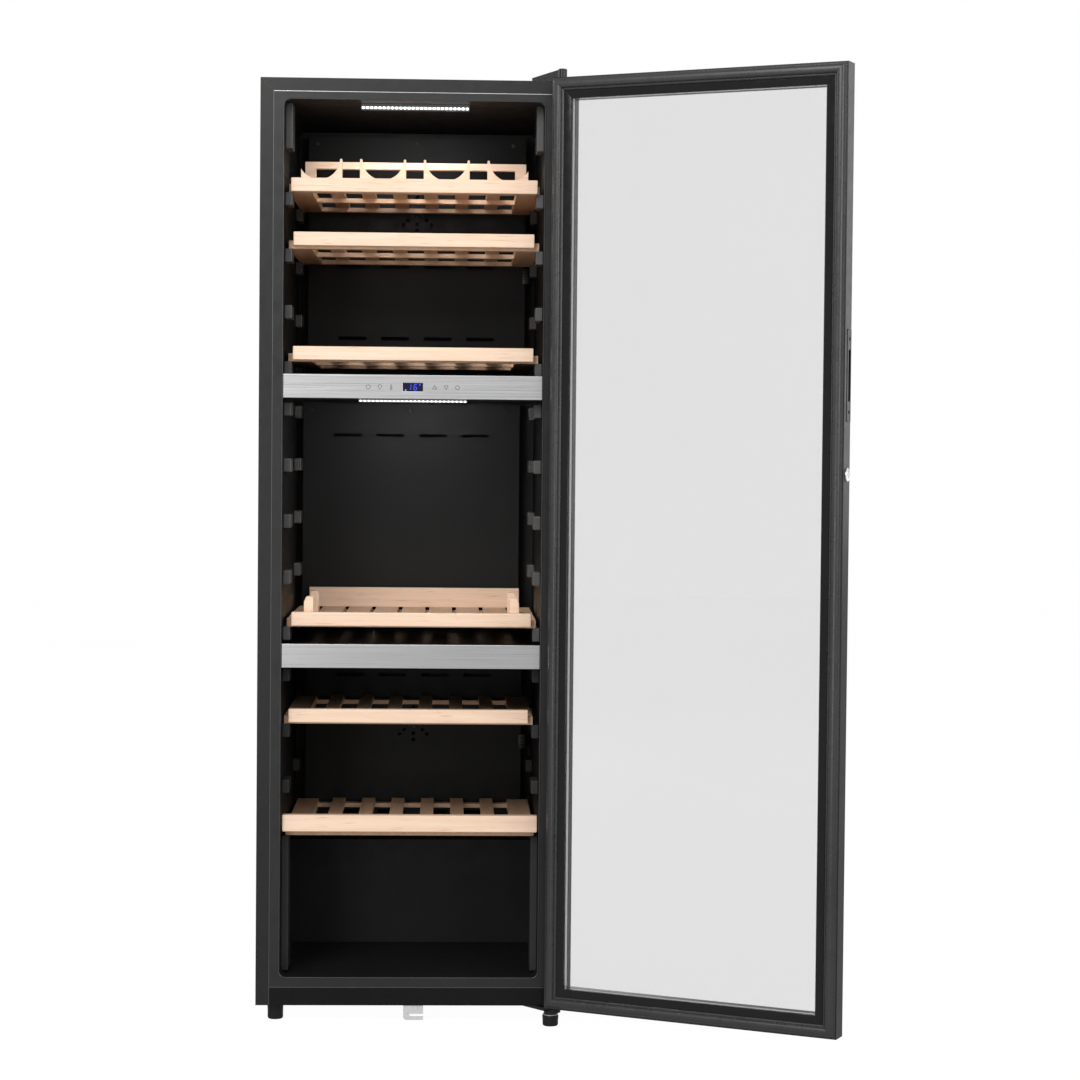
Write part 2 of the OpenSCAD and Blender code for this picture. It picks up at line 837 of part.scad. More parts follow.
// Shallow insert with the finger slot in the door's free edge
module grip_insert() {
    color([0.24, 0.24, 0.25]) on_door() difference() {
        box(-half_w - 0.4, -half_w + 15, front_y - grip_v - grip_w / 2 + 0.2,
            front_y - grip_v + grip_w / 2 - 0.2, grip_z - grip_len / 2 + 0.2,
            grip_z + grip_len / 2 - 0.2);
        box(-half_w - 1, -half_w + 12, front_y - grip_v - slot_w / 2 - 2,
            front_y - grip_v + slot_w / 2 - 2, grip_z - slot_len / 2, grip_z + slot_len / 2);
        for (s = [-1, 1])
            translate([-half_w - 1, front_y - grip_v - 2, grip_z + s * (grip_len / 2 - 16)])
                rotate([0, 90, 0]) cylinder(r = 3.2, h = 5);
    }
}

module lock_ring() {
    color([0.9, 0.9, 0.9]) on_door() translate([-half_w, front_y - lock_v, lock_z])
        rotate([0, 90, 0]) difference() {
            union() {
                translate([0, 0, -1.6]) cylinder(r = lock_r, h = 1.6);
                cylinder(r = lock_r - 1.6, h = 12);
            }
            translate([0, 0, -3]) cylinder(r = 6 + run_gap, h = 16);
        }
}

// Key plug and its cam, which turns inside the frame
module lock_plug() {
    color([0.8, 0.8, 0.8]) on_door() translate([-half_w, front_y - lock_v, lock_z])
        rotate([0, 90, 0]) difference() {
            union() {
                translate([0, 0, -1.9]) cylinder(r = 6, h = 16);
                translate([-4, -4, 12.3]) cube([12, 8, 1.8]);
            }
            translate([-3.2, -0.7, -3]) cube([6.4, 1.4, 8]);
        }
}

module hinge_bushes() {
    color([0.85, 0.85, 0.82]) on_door() for (top = [0, 1]) {
        z = top == 0 ? door_z0 : door_z1 - pin_reach - 3;
        difference() {
            translate([pivot_x, pivot_y, z]) cylinder(r = bush_r - 0.1, h = pin_reach + 3);
            translate([pivot_x, pivot_y, z - 1]) cylinder(r = pin_r + run_gap, h = pin_reach + 5);
        }
    }
}

outer_wrap();
rear_panel();
base_pan();
base_strip();
foam_insulation();
inner_liner();
upper_supports();
middle_supports();
lower_supports();
upper_divider();
lower_divider();
control_fascia();
display_window();
control_board();
lower_fascia();
upper_led_bar();
middle_led_bar();
upper_back_panel();
middle_back_panel();
lower_back_panel();
upper_evaporator();
lower_evaporator();
fan_frame(upper_fan_z);  // upper_fan_frame
fan_frame(lower_fan_z);  // lower_fan_frame
fan_rotor(upper_fan_z);  // upper_fan_rotor
fan_rotor(lower_fan_z);  // lower_fan_rotor
compressor();
compressor_mounts();
condenser_coil();
mains_inlet();
keeper_plate();
top_hinge_arm();
top_hinge_cover();
bottom_hinge_arm();
front_left_foot();
front_right_foot();
rear_left_foot();
rear_right_foot();
cradle_shelf_front();
cradle_shelf_frame();
bottle_cradles();
second_shelf_front();
second_shelf_frame();
third_shelf_front();
third_shelf_frame();
display_shelf_front();
display_shelf_frame();
display_retainers();
fourth_shelf_front();
fourth_shelf_frame();
bottom_shelf_front();
bottom_shelf_frame();
door_frame();
door_inner_frame();
inner_glass();
outer_glass();
glass_spacer();
door_gasket();
grip_insert();
lock_ring();
lock_plug();
hinge_bushes();
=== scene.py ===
"""Looks of the tall wine cooler: materials for every CAD node and the fine pieces that CAD leaves out.

Everything is in metres in the CAD frame: the cooler's front faces -Y, +X is on the right seen from the
front and Z = 0 is the floor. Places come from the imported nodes' boxes and from the door's joint.
"""

import json
import math
import random

import bmesh
import bpy
from mathutils import Matrix, Vector


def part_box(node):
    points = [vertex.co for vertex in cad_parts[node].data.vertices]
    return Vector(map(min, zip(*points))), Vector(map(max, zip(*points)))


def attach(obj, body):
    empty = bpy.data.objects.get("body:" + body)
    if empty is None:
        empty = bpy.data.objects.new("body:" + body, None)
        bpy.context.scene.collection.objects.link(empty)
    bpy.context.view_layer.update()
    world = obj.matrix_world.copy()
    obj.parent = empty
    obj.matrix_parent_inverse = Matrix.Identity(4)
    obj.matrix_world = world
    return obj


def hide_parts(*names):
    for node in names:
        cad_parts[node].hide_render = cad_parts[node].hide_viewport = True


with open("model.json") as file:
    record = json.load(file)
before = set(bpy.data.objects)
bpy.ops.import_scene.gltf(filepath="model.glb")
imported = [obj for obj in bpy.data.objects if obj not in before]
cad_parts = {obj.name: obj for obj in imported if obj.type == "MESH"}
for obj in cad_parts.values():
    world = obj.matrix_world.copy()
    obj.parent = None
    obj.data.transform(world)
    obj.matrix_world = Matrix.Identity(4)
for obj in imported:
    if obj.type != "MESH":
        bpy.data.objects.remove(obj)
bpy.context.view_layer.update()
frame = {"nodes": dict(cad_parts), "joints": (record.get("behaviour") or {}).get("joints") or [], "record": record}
NODES = frame["nodes"]
MM = 0.001
RNG = random.Random(7)

# Places read from the CAD
WRAP_LO, WRAP_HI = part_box("outer_wrap")
FRONT_Y = WRAP_LO.y
BACK_Y = WRAP_HI.y
HALF_W = WRAP_HI.x
BASE_Z = WRAP_LO.z
TOP_Z = WRAP_HI.z
PANEL_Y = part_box("middle_back_panel")[0].y
DOOR_HINGE = next(j for j in frame["joints"] if j["name"] == "door_hinge")
PIVOT = Vector(DOOR_HINGE["pos_m"])
OPEN_ANGLE = -math.radians(DOOR_HINGE["range_deg"][0])
DOOR_Z0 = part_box("door_frame")[0].z
DOOR_Z1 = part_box("door_frame")[1].z

# The liner's front opening inside its walls, and the front wall of the compressor bay
SIDE_WALL, FLOOR_WALL, CEILING_WALL = 0.0425, 0.051, 0.038
OPEN_HALF = HALF_W - SIDE_WALL
OPEN_Z0 = BASE_Z + FLOOR_WALL
OPEN_Z1 = TOP_Z - CEILING_WALL
BAY_Y = 0.105

# The closed door's frame turned to where the open door holds it
DOOR = (
    Matrix.Translation((PIVOT.x, PIVOT.y, 0))
    @ Matrix.Rotation(OPEN_ANGLE, 4, "Z")
    @ Matrix.Translation((-PIVOT.x, -PIVOT.y, 0))
)


# ---------------------------------------------------------------- materials


class Paint:
    """A material with its Principled shader, and short calls for the usual node chains."""

    def __init__(self, name, color=(0.5, 0.5, 0.5), rough=0.5, metal=0.0, **sockets):
        self.mat = bpy.data.materials.new(name)
        self.mat.use_nodes = True
        self.tree = self.mat.node_tree
        self.bsdf = self.tree.nodes["Principled BSDF"]
        self.set("Base Color", (*color, 1))
        self.set("Roughness", rough)
        self.set("Metallic", metal)
        for key, value in sockets.items():
            self.set(key.replace("_", " "), value)
        self.coords = None

    def set(self, socket, value):
        self.bsdf.inputs[socket].default_value = value

    def node(self, kind, **values):
        n = self.tree.nodes.new(kind)
        for key, value in values.items():
            if key in n.inputs:
                n.inputs[key].default_value = value
            else:
                setattr(n, key, value)
        return n

    def link(self, a, b):
        self.tree.links.new(a, b)

    def place(self, scale=(1, 1, 1)):
        """Object coordinates stretched by scale."""
        if self.coords is None:
            self.coords = self.node("ShaderNodeTexCoord").outputs["Object"]
        mapping = self.node("ShaderNodeMapping", Scale=scale)
        self.link(self.coords, mapping.inputs["Vector"])
        return mapping.outputs["Vector"]

    def noise(self, scale, detail=4.0, stretch=(1, 1, 1), rough=0.55, distort=0.0):
        n = self.node(
            "ShaderNodeTexNoise", Scale=scale, Detail=detail, Roughness=rough, Distortion=distort
        )
        self.link(self.place(stretch), n.inputs["Vector"])
        return n.outputs["Fac"]

    def ramp(self, fac, stops):
        n = self.node("ShaderNodeValToRGB")
        marks = n.color_ramp.elements
        while len(marks) < len(stops):
            marks.new(0.5)
        for mark, (at, color) in zip(marks, stops):
            mark.position = at
            mark.color = (*color, 1)
        self.link(fac, n.inputs["Fac"])
        return n.outputs["Color"]

    def spread(self, fac, low, high, at=(0.3, 0.7)):
        """A number between low and high, following fac."""
        n = self.node("ShaderNodeMapRange")
        n.inputs["From Min"].default_value = at[0]
        n.inputs["From Max"].default_value = at[1]
        n.inputs["To Min"].default_value = low
        n.inputs["To Max"].default_value = high
        self.link(fac, n.inputs["Value"])
        return n.outputs["Result"]

    def mix(self, fac, a, b, blend="MIX"):
        n = self.node("ShaderNodeMix", data_type="RGBA", blend_type=blend)
        for value, index in ((fac, 0), (a, 6), (b, 7)):
            if isinstance(value, bpy.types.NodeSocket):
                self.link(value, n.inputs[index])
            elif index == 0:
                n.inputs[index].default_value = value
            else:
                n.inputs[index].default_value = (*value, 1)
        return n.outputs[2]

    def color(self, socket):
        self.link(socket, self.bsdf.inputs["Base Color"])
        return self

    def rough(self, socket):
        self.link(socket, self.bsdf.inputs["Roughness"])
        return self

    def bump(self, fac, strength=0.2, distance=0.0005):
        n = self.node("ShaderNodeBump", Strength=strength, Distance=distance)
        self.link(fac, n.inputs["Height"])
        last = self.bsdf.inputs["Normal"]
        if last.is_linked:
            self.link(last.links[0].from_socket, n.inputs["Normal"])
        self.link(n.outputs["Normal"], last)
        return self


def tone(color, gain):
    return tuple(min(1.0, c * gain) for c in color)


def painted_steel(name, color, rough=0.36, shine=0.45):
    """Powder-coated sheet: fine orange peel and a faint drift of tone."""
    m = Paint(name, color, rough)
    m.set("Specular IOR Level", shine)
    drift = m.noise(3.5, 3)
    m.color(m.ramp(drift, [(0.3, tone(color, 0.9)), (0.7, tone(color, 1.1))]))
    m.rough(m.spread(m.noise(60, 3), rough - 0.04, rough + 0.05))
    return m.bump(m.noise(900, 2), 0.12, 0.0002).mat


def moulded_plastic(name, color, rough, grain=700, strength=0.1, shine=0.5):
    """Plastic or rubber with a fine moulded grain and patches of slightly different gloss."""
    m = Paint(name, color, rough)
    m.set("Specular IOR Level", shine)
    m.color(m.ramp(m.noise(5, 3), [(0.3, tone(color, 0.88)), (0.7, tone(color, 1.12))]))
    m.rough(m.spread(m.noise(40, 4), rough - 0.05, rough + 0.06))
    return m.bump(m.noise(grain, 3), strength, 0.0002).mat


def brushed_metal(name, color, rough):
    """Fine parallel scratches across the width of the cooler."""
    m = Paint(name, color, rough, 1.0)
    lines = m.noise(1.0, 5, (3, 900, 900), 0.7)
    m.color(m.ramp(lines, [(0.25, tone(color, 0.86)), (0.75, tone(color, 1.08))]))
    m.rough(m.spread(lines, rough - 0.07, rough + 0.1))
    return m.bump(lines, 0.12, 0.0001).mat


def plain_metal(name, color, rough, grain=260, strength=0.08, metal=1.0):
    """Plated or cast metal with small spots of dull and bright."""
    m = Paint(name, color, rough, metal)
    spots = m.noise(grain, 4)
    m.color(m.ramp(spots, [(0.3, tone(color, 0.9)), (0.7, tone(color, 1.06))]))
    m.rough(m.spread(spots, rough - 0.04, rough + 0.08))
    return m.bump(spots, strength, 0.0001).mat


def beech(name, light, dark, along="X", rough=0.46):
    """Straight-grained beech with soft growth bands and short dark flecks."""
    slow, fast = 1.6, 38.0
    fleck_slow, fleck_fast = 22.0, 520.0
    stretch = {"X": (slow, fast, fast), "Y": (fast, slow, fast)}[along]
    fleck_stretch = tuple(fleck_slow if s == slow else fleck_fast for s in stretch)
    m = Paint(name, light, rough)
    bands = m.noise(1.0, 6, stretch, 0.6, 0.25)
    flecks = m.noise(1.0, 2, fleck_stretch, 0.4)
    pores = m.noise(1.0, 3, tuple(s * 3.2 for s in stretch), 0.6)
    base = m.ramp(bands, [(0.28, dark), (0.52, light), (0.75, tone(light, 1.05))])
    fine = m.ramp(pores, [(0.35, (0.93, 0.9, 0.87)), (0.6, (1, 1, 1))])
    spots = m.ramp(flecks, [(0.3, (0.86, 0.77, 0.68)), (0.37, (1, 1, 1))])
    m.color(m.mix(1.0, m.mix(1.0, base, fine, "MULTIPLY"), spots, "MULTIPLY"))
    m.rough(m.spread(bands, rough - 0.05, rough + 0.08))
    m.bump(pores, 0.18, 0.0002)
    return m.bump(flecks, 0.1, 0.0002).mat


def glass(name, color):
    m = Paint(name, color, 0.0)
    m.set("Transmission Weight", 1.0)
    m.set("IOR", 1.45)
    m.color(m.ramp(m.noise(2, 2), [(0.3, color), (0.7, tone(color, 0.995))]))
    return m.mat


def glowing(name, color, strength, base=0.9):
    """Lit plastic whose unlit tone is a grey of value base."""
    m = Paint(name, (base, base, base), 0.3)
    m.set("Emission Color", (*color, 1))
    m.set("Emission Strength", strength)
    return m.bump(m.noise(300, 2), 0.05, 0.0001).mat


def foam_paint(name):
    m = Paint(name, (0.75, 0.62, 0.3), 0.9)
    cells = m.noise(180, 5)
    m.color(m.ramp(cells, [(0.3, (0.6, 0.48, 0.2)), (0.7, (0.82, 0.7, 0.38))]))
    return m.bump(cells, 0.6, 0.001).mat


def board_paint(name):
    m = Paint(name, (0.02, 0.2, 0.07), 0.35)
    tracks = m.noise(240, 1, (1, 1, 6))
    m.color(m.ramp(tracks, [(0.47, (0.015, 0.16, 0.05)), (0.53, (0.04, 0.3, 0.1))]))
    return m.bump(tracks, 0.2, 0.0002).mat


STEEL_GREY = (0.009, 0.009, 0.0092)
PAINTS = {
    "shell_steel": painted_steel("shell_steel", STEEL_GREY),
    "base_steel": painted_steel("base_steel", (0.02, 0.02, 0.021), 0.5),
    "strip_black": painted_steel("strip_black", (0.004, 0.004, 0.0042), 0.3, 0.25),
    # Bright and dim metal for thin lines along the steel front's inner edge: painted highlights, the top line
    # brighter than the sides and bottom
    "edge_highlight_bright": plain_metal("edge_highlight_bright", (0.75, 0.74, 0.73), 0.35, 300, 0.03),
    "edge_highlight_dim": plain_metal("edge_highlight_dim", (0.16, 0.16, 0.16), 0.4, 300, 0.03),
    "keeper_zinc": plain_metal("keeper_zinc", (0.8, 0.8, 0.81), 0.3, 200, 0.04, 0.4),
    "zinc_steel": plain_metal("zinc_steel", (0.72, 0.72, 0.73), 0.28),
    # Darker copy of the fascia's brushed steel for the lower bar: painted shade
    "brushed_steel_shaded": brushed_metal("brushed_steel_shaded", (0.67, 0.67, 0.675), 0.32),
    "brushed_steel": brushed_metal("brushed_steel", (0.74, 0.74, 0.745), 0.3),
    "foam": foam_paint("foam"),
    "liner_plastic": moulded_plastic("liner_plastic", (0.008, 0.008, 0.0082), 0.52, shine=0.25),
    "liner_flange": moulded_plastic("liner_flange", (0.014, 0.014, 0.0143), 0.34),
    # Lighter, glossier copy of the liner plastic for the rolled lip: painted highlight
    "liner_lip_highlit": moulded_plastic("liner_lip_highlit", (0.035, 0.035, 0.0355), 0.2),
    "support_plastic": moulded_plastic("support_plastic", (0.085, 0.084, 0.083), 0.4),
    # Darker copy of the support plastic for the lower supports: painted shade of the bottom zone
    "support_plastic_shaded": moulded_plastic("support_plastic_shaded", (0.03, 0.03, 0.03), 0.45, shine=0.3),
    "divider_plastic": moulded_plastic("divider_plastic", (0.006, 0.006, 0.0062), 0.4, shine=0.3),
    "black_plastic": moulded_plastic("black_plastic", (0.01, 0.01, 0.0105), 0.4),
    "panel_plastic": moulded_plastic("panel_plastic", (0.012, 0.012, 0.0122), 0.42, shine=0.2),
    "display": moulded_plastic("display", (0.006, 0.007, 0.03), 0.08, 300, 0.01),
    "circuit_board": board_paint("circuit_board"),
    "led_lens": glowing("led_lens", (0.95, 0.98, 1.0), 0.03, 0.12),
    "bare_aluminium": plain_metal("bare_aluminium", (0.8, 0.81, 0.82), 0.35),
    "motor_black": painted_steel("motor_black", (0.018, 0.018, 0.019), 0.3),
    "rubber_mount": moulded_plastic("rubber_mount", (0.02, 0.02, 0.02), 0.75, 400, 0.3),
    "coil_steel": painted_steel("coil_steel", (0.018, 0.018, 0.018), 0.4),
    "hinge_steel": painted_steel("hinge_steel", (0.005, 0.005, 0.0052), 0.26, 0.4),
    "foot_plastic": moulded_plastic("foot_plastic", (0.006, 0.006, 0.0062), 0.4, 500, 0.2, 0.35),
    "beech_front": beech("beech_front", (0.98, 0.73, 0.55), (0.94, 0.67, 0.5)),
    # Darker, more saturated copy of the front beech for the shelf frames: painted shade on their undersides and
    # sides
    "beech_frame": beech("beech_frame", (0.82, 0.55, 0.36), (0.7, 0.44, 0.28), "Y"),
    "door_metal": painted_steel("door_metal", STEEL_GREY, 0.32),
    "glass": glass("glass", (0.875, 0.875, 0.875)),
    "spacer_metal": plain_metal("spacer_metal", (0.56, 0.56, 0.57), 0.3, 900),
    "gasket_rubber": moulded_plastic("gasket_rubber", (0.036, 0.036, 0.037), 0.28, 500, 0.02),
    "chrome": plain_metal("chrome", (0.86, 0.86, 0.87), 0.06, 120, 0.02),
    "bush_plastic": moulded_plastic("bush_plastic", (0.75, 0.74, 0.7), 0.45),
    "frame_black": moulded_plastic("frame_black", (0.004, 0.004, 0.0042), 0.12, 500, 0.03),
    "print_grey": moulded_plastic("print_grey", (0.1, 0.1, 0.105), 0.5),
    "digit_glow": glowing("digit_glow", (0.045, 0.07, 1.0), 1.6, 0.02),
    "white_glow": glowing("white_glow", (0.35, 0.5, 1.0), 1.2, 0.1),
    "led_glow": glowing("led_glow", (1.0, 1.0, 1.0), 3.0),
    "led_haze": glowing("led_haze", (0.95, 0.97, 1.0), 0.42, 0.4),
    "copper": plain_metal("copper", (0.75, 0.36, 0.2), 0.32, 90, 0.1),
    # Near-black for the insides of holes and slots: painted shade
    "painted_hole_shade": moulded_plastic("painted_hole_shade", (0.003, 0.003, 0.003), 0.8),
}


# ---------------------------------------------------------------- CAD nodes


def paint_node(name, material):
    obj = NODES[name]
    obj.data.materials.clear()
    obj.data.materials.append(material)


def soften(name, width):
    """Rounds a CAD node's sharp edges with modifiers, so its own mesh stays as it is."""
    obj = NODES[name]
    weld = obj.modifiers.new("weld", "WELD")
    weld.merge_threshold = 0.00001
    planes = obj.modifiers.new("planes", "DECIMATE")
    planes.decimate_type = "DISSOLVE"
    planes.angle_limit = math.radians(1)
    bevel = obj.modifiers.new("bevel", "BEVEL")
    bevel.width = width
    bevel.segments = 2
    bevel.limit_method = "ANGLE"
    bevel.angle_limit = math.radians(35)
    normals = obj.modifiers.new("normals", "WEIGHTED_NORMAL")
    normals.keep_sharp = True


# Bevel width and the nodes that get it
SOFT_EDGES = {
    0.0012: ["outer_wrap", "door_frame"],
    0.0015: [n for n in NODES if n.endswith("_shelf_front")],
    0.001: [n for n in NODES if n.endswith("_shelf_frame")]
    + ["bottle_cradles", "display_retainers"],
    0.0006: ["control_fascia", "lower_fascia", "keeper_plate", "top_hinge_arm", "bottom_hinge_arm"],
    0.0004: ["grip_insert", "base_strip", "upper_led_bar", "middle_led_bar", "top_hinge_cover"],
    0.0014: [n for n in NODES if n.endswith("_supports")],
}


def dress_cad():
    slots = {s["node"]: s["material_slot"] for s in frame["record"]["subparts"]}
    for name, slot in slots.items():
        paint_node(name, PAINTS[slot])
    paint_node("base_strip", PAINTS["strip_black"])
    # The lower bar gets a darker copy of the brushed steel: painted shade
    paint_node("lower_fascia", PAINTS["brushed_steel_shaded"])
    paint_node("keeper_plate", PAINTS["keeper_zinc"])
    # The lower supports get a darker copy of the support plastic: painted shade
    paint_node("lower_supports", PAINTS["support_plastic_shaded"])
    paint_node("top_hinge_cover", PAINTS["hinge_steel"])
    for width, names in SOFT_EDGES.items():
        for name in names:
            soften(name, width)


# ---------------------------------------------------------------- piece builders


def finish_piece(obj, material, body, smooth=None):
    """Paints a piece, ties it to its body and smooths it below the angle smooth, in degrees."""
    obj.data.materials.append(PAINTS[material])
    if smooth is not None and obj.type == "MESH":
        for face in obj.data.polygons:
            face.use_smooth = True
        obj.data.set_sharp_from_angle(angle=math.radians(smooth))
    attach(obj, body)
    return obj


def mesh_piece(name, build, material, body, smooth=30, matrix=None):
    """build(bm) draws the piece; matrix places it."""
    bm = bmesh.new()
    build(bm)
    bmesh.ops.recalc_face_normals(bm, faces=bm.faces)
    if matrix is not None:
        bmesh.ops.transform(bm, matrix=matrix, verts=bm.verts)
    data = bpy.data.meshes.new(name)
    bm.to_mesh(data)
    bm.free()
    obj = bpy.data.objects.new(name, data)
    bpy.context.scene.collection.objects.link(obj)
    return finish_piece(obj, material, body, smooth)


def add_box(bm, lo, hi, bevel=0.0):
    made = bmesh.ops.create_cube(bm, size=1.0)["verts"]
    for v in made:
        v.co = Vector(lo[i] + (v.co[i] + 0.5) * (hi[i] - lo[i]) for i in range(3))
    if bevel:
        edges = list({e for v in made for e in v.link_edges})
        bmesh.ops.bevel(bm, geom=edges, offset=bevel, segments=2, affect="EDGES", profile=0.5)


def add_lathe(bm, profile, matrix, steps=24):
    """Turns a list of (radius, height) about Z, then places it with matrix."""
    rings = []
    for r, z in profile:
        if r < 1e-9:
            rings.append([bm.verts.new(matrix @ Vector((0, 0, z)))])
            continue
        ring = []
        for i in range(steps):
            a = 2 * math.pi * i / steps
            ring.append(bm.verts.new(matrix @ Vector((r * math.cos(a), r * math.sin(a), z))))
        rings.append(ring)
    for low, high in zip(rings, rings[1:]):
        for i in range(steps):
            j = (i + 1) % steps
            corners = [ring[k % len(ring)] for ring, k in ((low, i), (low, j), (high, j), (high, i))]
            unique = list(dict.fromkeys(corners))
            if len(unique) > 2:
                bm.faces.new(unique)


def facing(point, direction, turn=0.0):
    """Matrix that puts a piece's Z along direction at point."""
    aim = Vector(direction).normalized().to_track_quat("Z", "Y").to_matrix().to_4x4()
    return Matrix.Translation(point) @ aim @ Matrix.Rotation(turn, 4, "Z")


def add_screw(bm, point, direction, r, turn):
    """Pan head with a sunk cross."""
    place = facing(point, direction, turn)
    h = 0.5 * r
    add_lathe(
        bm,
        [(r, -0.0003), (r, 0.3 * h), (0.86 * r, 0.75 * h), (0.55 * r, h), (0.5 * r, h),
         (0.42 * r, 0.55 * h), (0, 0.5 * h)],
        place,
        20,
    )
    for quarter in range(2):
        spin = place @ Matrix.Rotation(quarter * math.pi / 2, 4, "Z")
        verts = []
        for x, y, z in ((-1, -1, 1), (1, -1, 1), (1, 1, 1), (-1, 1, 1)):
            verts.append(bm.verts.new(spin @ Vector((x * 0.5 * r, y * 0.09 * r, z * h * 1.02))))
        bm.faces.new(verts)


def screws(name, places, direction, material, body, r):
    """One piece of several screws, each turned its own way."""

    def build(bm):
        for point in places:
            add_screw(bm, point, direction, r, RNG.uniform(0, math.pi / 2))

    return mesh_piece(name, build, material, body)


def tube(name, points, radius, material, body, closed=False):
    """A smooth bent tube through points, or a closed round bead."""
    curve = bpy.data.curves.new(name, "CURVE")
    curve.dimensions = "3D"
    curve.bevel_depth = radius
    curve.bevel_resolution = 3 if closed else 4
    curve.use_fill_caps = not closed
    spline = curve.splines.new("POLY" if closed else "NURBS")
    spline.points.add(len(points) - 1)
    for p, co in zip(spline.points, points):
        p.co = (*co, 1)
    if closed:
        spline.use_cyclic_u = True
    else:
        spline.use_endpoint_u = True
        spline.order_u = 3
        spline.resolution_u = 8
    obj = bpy.data.objects.new(name, curve)
    bpy.context.scene.collection.objects.link(obj)
    return finish_piece(obj, material, body)


def door_bar_ring(name, profile, material, mitre_gap=0.00015):
    """Four mitred bars around the door. The profile lists (inset from the edge, depth) in mm."""
    x0, x1 = -HALF_W, HALF_W
    corners = [(x0, DOOR_Z0), (x1, DOOR_Z0), (x1, DOOR_Z1), (x0, DOOR_Z1)]
    inward = [(1, 1), (-1, 1), (-1, -1), (1, -1)]

    def build(bm):
        for i in range(4):
            j = (i + 1) % 4
            ends = []
            for k, sign in ((i, 1), (j, -1)):
                along = Vector(
                    (corners[j][0] - corners[i][0], corners[j][1] - corners[i][1])
                ).normalized()
                loop = []
                for inset, depth in profile:
                    u, v = inset * MM, depth * MM
                    x = corners[k][0] + inward[k][0] * u + along.x * sign * mitre_gap
                    z = corners[k][1] + inward[k][1] * u + along.y * sign * mitre_gap
                    loop.append(bm.verts.new((x, FRONT_Y - v, z)))
                ends.append(loop)
            n = len(profile)
            for a in range(n):
                b = (a + 1) % n
                bm.faces.new([ends[0][a], ends[0][b], ends[1][b], ends[1][a]])
            bm.faces.new(ends[0])
            bm.faces.new(list(reversed(ends[1])))

    return mesh_piece(name, build, material, "door", 40, DOOR)


# ---------------------------------------------------------------- door pieces

GASKET_PROFILE = [
    (1.6, 9.9), (1.8, 8.2), (3.2, 7.4), (4.2, 7.4), (4.8, 6.0), (5.6, 3.4), (7.0, 1.9), (9.0, 1.2),
    (12.0, 1.0), (15.0, 1.2), (17.2, 1.9), (18.6, 3.2), (19.2, 4.8), (19.4, 6.6), (19.9, 6.9),
    (20.4, 6.4), (21.4, 6.3), (22.6, 7.0), (23.6, 8.4), (23.9, 9.9),
]
INNER_FRAME_PROFILE = [
    (24.1, 11.7), (24.1, 9.6), (24.6, 9.2), (36.9, 9.6), (37.9, 10.0), (38.4, 10.6), (38.5, 11.7),
]


def door_pieces():
    """The gasket's moulded section, the cover of the inner frame and the small parts of the door."""
    gasket = door_bar_ring("gasket_profile", GASKET_PROFILE, "gasket_rubber", 0.0001)
    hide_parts("door_gasket")
    door_bar_ring("inner_frame_cover", INNER_FRAME_PROFILE, "frame_black")
    paint_node("door_inner_frame", PAINTS["frame_black"])
    spacer_hole_shades()
    grip_details()
    lock_details()
    hinge_details()


def spacer_hole_shades():
    """Rows of dark discs in the face of the spacer between the panes: painted shade standing in for small punched
    holes.
    """
    inset = 0.0385
    pitch = 0.004
    row_depths = (0.0182, 0.0225)
    r = 0.0007
    proud = 0.00005
    z0, z1 = DOOR_Z0 + inset, DOOR_Z1 - inset
    x0, x1 = -HALF_W + inset, HALF_W - inset

    def build(bm):
        for depth in row_depths:
            y = FRONT_Y - depth
            count = int((z1 - z0) / pitch) - 1
            for i in range(count):
                z = z0 + (i + 1) * pitch
                add_disc(bm, facing((x0 + proud, y, z), (1, 0, 0)), r, 6)
                add_disc(bm, facing((x1 - proud, y, z), (-1, 0, 0)), r, 6)
            count = int((x1 - x0) / pitch) - 1
            for i in range(count):
                x = x0 + (i + 1) * pitch
                add_disc(bm, facing((x, y, z0 + proud), (0, 0, 1)), r, 6)
                add_disc(bm, facing((x, y, z1 - proud), (0, 0, -1)), r, 6)

    mesh_piece("spacer_hole_shades", build, "painted_hole_shade", "door", None, DOOR)


def add_disc(bm, place, r, steps=16):
    ring = []
    for i in range(steps):
        a = 2 * math.pi * i / steps
        ring.append(bm.verts.new(place @ Vector((r * math.cos(a), r * math.sin(a), 0))))
    bm.faces.new(ring)


def grip_details():
    """Proud rim around the grip insert and the two screws in its ends."""
    grip_z = 1.165
    y = FRONT_Y - 0.0315
    half_z, half_y = 0.078, 0.0095
    half_rim = 0.0005
    screw_y, screw_z = y + 0.002, 0.062

    def rim(bm):
        corners = [
            (y - half_y, -half_z), (y + half_y, -half_z), (y + half_y, half_z), (y - half_y, half_z)
        ]
        for k in range(4):
            (y0, z0), (y1, z1) = corners[k], corners[(k + 1) % 4]
            lo = (-HALF_W - 0.0008, min(y0, y1) - half_rim, grip_z + min(z0, z1) - half_rim)
            hi = (-HALF_W + 0.0006, max(y0, y1) + half_rim, grip_z + max(z0, z1) + half_rim)
            add_box(bm, lo, hi, 0.0003)

    mesh_piece("grip_rim", rim, "strip_black", "door", 40, DOOR)
    places = [DOOR @ Vector((-HALF_W + 0.0012, screw_y, grip_z + s * screw_z)) for s in (-1, 1)]
    outward = DOOR.to_3x3() @ Vector((-1, 0, 0))
    screws("grip_screws", places, outward, "zinc_steel", "door", 0.0027)


